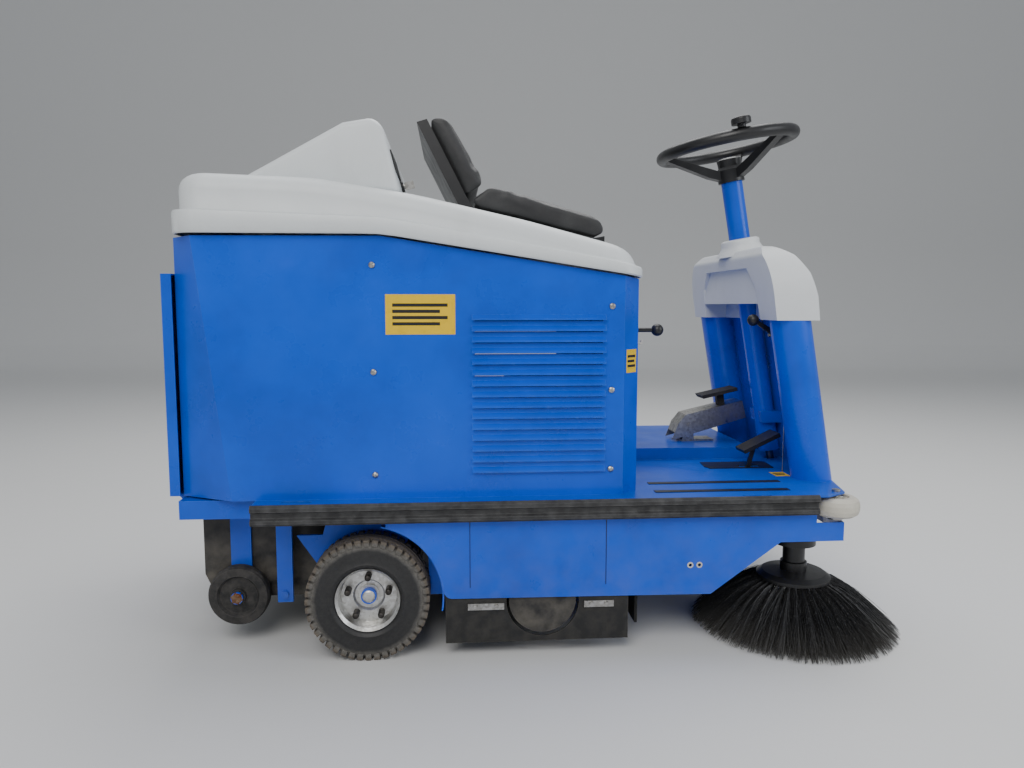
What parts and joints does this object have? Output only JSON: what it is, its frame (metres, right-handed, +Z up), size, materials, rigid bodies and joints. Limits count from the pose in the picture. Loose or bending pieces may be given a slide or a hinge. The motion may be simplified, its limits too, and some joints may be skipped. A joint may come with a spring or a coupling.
{
  "type": "ride-on sweeper",
  "caption": "Battery ride-on floor sweeper: louvred steel body under a moulded hood with seat, rear dust hopper, main and side brush, cushion tyres, step-through deck and steering column.",
  "frame": {"origin": "On the ground plane below the middle of the machine's outline.", "axes": "+X forward, towards the steering column; +Y to the driver's left; +Z up."},
  "size_m": [1.641, 0.944, 1.1955],
  "materials": {
    "blue_paint": "gloss enamel on body, skirts and column",
    "deck_paint": "worn gloss enamel on the deck",
    "frame_paint": "black enamel on frame and underframe",
    "hopper_paint": "scuffed black enamel on the hopper",
    "hood_plastic": "light grey moulded plastic",
    "cap_plastic": "light grey moulded plastic of the dash",
    "black_plastic": "black moulded plastic",
    "strip_rubber": "black bumper strip with worn ridges",
    "flap_rubber": "black sheet rubber",
    "tyre_rubber": "black cushion tyre",
    "rim_steel": "silver lacquered pressed rim",
    "plated_steel": "zinc plated steel",
    "belt_rubber": "black belt",
    "core_steel": "bare steel brush tube",
    "bristle": "black nylon bristles",
    "vinyl": "black grained vinyl",
    "battery_case": "dark grey battery case",
    "roller_plastic": "off-white hard plastic",
    "impeller_metal": "cast fan wheel"
  },
  "bodies": {
    "chassis": {"chassis_frame": "blue_paint", "deck": "deck_paint", "skirts": "blue_paint", "body_panels": "blue_paint", "underframe": "blue_paint", "rear_axles": "blue_paint", "bumper_strips": "strip_rubber", "panel_screws": "plated_steel", "side_flaps": "flap_rubber", "flap_clamps": "plated_steel", "floor_trims": "black_plastic", "pivot_hardware": "plated_steel", "battery_pack": "battery_case", "controller_box": "black_plastic", "filter_housing": "hopper_paint", "fan_housing": "black_plastic", "column_frame": "blue_paint", "dash_cap": "cap_plastic", "dash_panel": "cap_plastic"},
    "rear_wheel_right": {"rear_tyre_right": "tyre_rubber", "rear_rim_right": "rim_steel"},
    "rear_wheel_left": {"rear_tyre_left": "tyre_rubber", "rear_rim_left": "rim_steel"},
    "steering": {"steering_shaft": "core_steel", "steering_wheel": "black_plastic"},
    "front_fork": {"front_fork": "frame_paint"},
    "front_wheel": {"front_wheel": "tyre_rubber"},
    "brush_lift": {"brush_arms": "frame_paint", "brush_motor": "frame_paint", "drive_belt": "belt_rubber"},
    "main_brush": {"main_brush_core": "core_steel", "main_brush_bristles": "bristle"},
    "motor_pulley": {"motor_pulley": "core_steel"},
    "front_flap": {"front_flap": "flap_rubber"},
    "flap_pedal": {"flap_pedal": "black_plastic"},
    "brush_lever": {"brush_lever": "black_plastic"},
    "side_brush_arm": {"side_brush_arm": "frame_paint", "side_brush_motor": "black_plastic"},
    "side_brush": {"side_brush_disc": "black_plastic", "side_brush_bristles": "bristle"},
    "side_lever": {"side_lever": "black_plastic"},
    "lift_cable": {"lift_cable": "plated_steel"},
    "hopper": {"hopper_bin": "hopper_paint", "hopper_frame": "blue_paint", "hopper_door": "blue_paint"},
    "small_wheel_right": {"small_wheel_right": "tyre_rubber"},
    "small_wheel_left": {"small_wheel_left": "tyre_rubber"},
    "hood": {"hood_shell": "hood_plastic", "console_controls": "black_plastic", "seat_back": "vinyl", "seat_base": "vinyl", "seat_shell": "black_plastic", "hood_knuckles": "plated_steel"},
    "ignition_key": {"ignition_key": "plated_steel"},
    "treadle": {"treadle": "plated_steel", "foot_rest": "flap_rubber"},
    "fan_impeller": {"fan_impeller": "impeller_metal"},
    "bumper_roller_right": {"bumper_roller_right": "roller_plastic"},
    "bumper_roller_left": {"bumper_roller_left": "roller_plastic"}
  },
  "joints": [
    {"name": "rear_wheel_right_spin", "type": "hinge", "parent": "chassis", "child": "rear_wheel_right", "pos_m": [-0.3925, -0.3295, 0.13], "axis": [0, 1, 0], "continuous": true},
    {"name": "rear_wheel_left_spin", "type": "hinge", "parent": "chassis", "child": "rear_wheel_left", "pos_m": [-0.3925, 0.4055, 0.13], "axis": [0, 1, 0], "continuous": true},
    {"name": "steering_turn", "type": "hinge", "parent": "chassis", "child": "steering", "pos_m": [0.4945, 0.038, 1.152], "axis": [-0.1736, 0, 0.9848], "range_deg": [-120, 120]},
    {"name": "fork_turn", "type": "hinge", "parent": "chassis", "child": "front_fork", "pos_m": [0.3675, 0.038, 0.15], "axis": [0, 0, 1], "range_deg": [-60, 60]},
    {"name": "front_wheel_spin", "type": "hinge", "parent": "front_fork", "child": "front_wheel", "pos_m": [0.3675, 0.038, 0.1], "axis": [0, 1, 0], "continuous": true},
    {"name": "brush_lift_swing", "type": "hinge", "parent": "chassis", "child": "brush_lift", "pos_m": [-0.2425, 0.038, 0.125], "axis": [0, -1, 0], "range_deg": [0, 6]},
    {"name": "main_brush_spin", "type": "hinge", "parent": "brush_lift", "child": "main_brush", "pos_m": [-0.0225, 0.038, 0.119], "axis": [0, 1, 0], "continuous": true},
    {"name": "motor_pulley_spin", "type": "hinge", "parent": "brush_lift", "child": "motor_pulley", "pos_m": [-0.1725, 0.322, 0.23], "axis": [0, 1, 0], "continuous": true},
    {"name": "front_flap_swing", "type": "hinge", "parent": "chassis", "child": "front_flap", "pos_m": [0.2075, 0.038, 0.17], "axis": [0, -1, 0], "range_deg": [0, 24]},
    {"name": "flap_pedal_press", "type": "hinge", "parent": "chassis", "child": "flap_pedal", "pos_m": [0.4575, -0.062, 0.3], "axis": [0, 1, 0], "range_deg": [0, 12], "stiffness_Nm_per_rad": 12, "springref_deg": -14.32},
    {"name": "brush_lever_swing", "type": "hinge", "parent": "chassis", "child": "brush_lever", "pos_m": [0.1275, -0.212, 0.69], "axis": [0, -1, 0], "range_deg": [0, 25]},
    {"name": "side_arm_swing", "type": "hinge", "parent": "chassis", "child": "side_brush_arm", "pos_m": [0.3675, -0.237, 0.262], "axis": [0, -1, 0], "range_deg": [0, 5.04]},
    {"name": "side_brush_spin", "type": "hinge", "parent": "side_brush_arm", "child": "side_brush", "pos_m": [0.5855, -0.237, 0.13], "axis": [0, 0, 1], "continuous": true},
    {"name": "side_lever_swing", "type": "hinge", "parent": "chassis", "child": "side_lever", "pos_m": [0.5595, -0.142, 0.68], "axis": [0, -1, 0], "range_deg": [0, 30]},
    {"name": "lift_cable_pull", "type": "slide", "parent": "chassis", "child": "lift_cable", "axis": [0, 0, 1], "range_m": [0, 0.0201]},
    {"name": "hopper_pull", "type": "slide", "parent": "chassis", "child": "hopper", "axis": [-1, 0, 0], "range_m": [0, 0.45]},
    {"name": "small_wheel_right_spin", "type": "hinge", "parent": "hopper", "child": "small_wheel_right", "pos_m": [-0.6825, -0.261, 0.112], "axis": [0, 1, 0], "continuous": true},
    {"name": "small_wheel_left_spin", "type": "hinge", "parent": "hopper", "child": "small_wheel_left", "pos_m": [-0.6825, 0.337, 0.112], "axis": [0, 1, 0], "continuous": true},
    {"name": "hood_tilt", "type": "hinge", "parent": "chassis", "child": "hood", "pos_m": [-0.795, 0.038, 0.884], "axis": [0, -1, 0], "range_deg": [0, 60]},
    {"name": "key_turn", "type": "hinge", "parent": "hood", "child": "ignition_key", "pos_m": [-0.3263, -0.112, 1.0175], "axis": [0.9686, 0, 0.2487], "range_deg": [0, 70]},
    {"name": "treadle_rock", "type": "hinge", "parent": "chassis", "child": "treadle", "pos_m": [0.4395, 0.153, 0.415], "axis": [0, 1, 0], "range_deg": [-4, 12], "stiffness_Nm_per_rad": 20},
    {"name": "fan_spin", "type": "hinge", "parent": "chassis", "child": "fan_impeller", "pos_m": [-0.2775, 0.038, 0.655], "axis": [1, 0, 0], "continuous": true},
    {"name": "roller_right_spin", "type": "hinge", "parent": "chassis", "child": "bumper_roller_right", "pos_m": [0.6255, -0.346, 0.309], "axis": [0, 0, 1], "continuous": true},
    {"name": "roller_left_spin", "type": "hinge", "parent": "chassis", "child": "bumper_roller_left", "pos_m": [0.6255, 0.422, 0.309], "axis": [0, 0, 1], "continuous": true}
  ],
  "couplings": [
    {"joint": "fork_turn", "follows": "steering_turn", "ratio": 0.5},
    {"joint": "brush_lift_swing", "follows": "brush_lever_swing", "ratio": 0.24},
    {"joint": "motor_pulley_spin", "follows": "main_brush_spin", "ratio": 1.4828},
    {"joint": "front_flap_swing", "follows": "flap_pedal_press", "ratio": 2},
    {"joint": "side_arm_swing", "follows": "side_lever_swing", "ratio": 0.168},
    {"joint": "lift_cable_pull", "follows": "side_lever_swing", "m_per_rad": 0.03838}
  ]
}
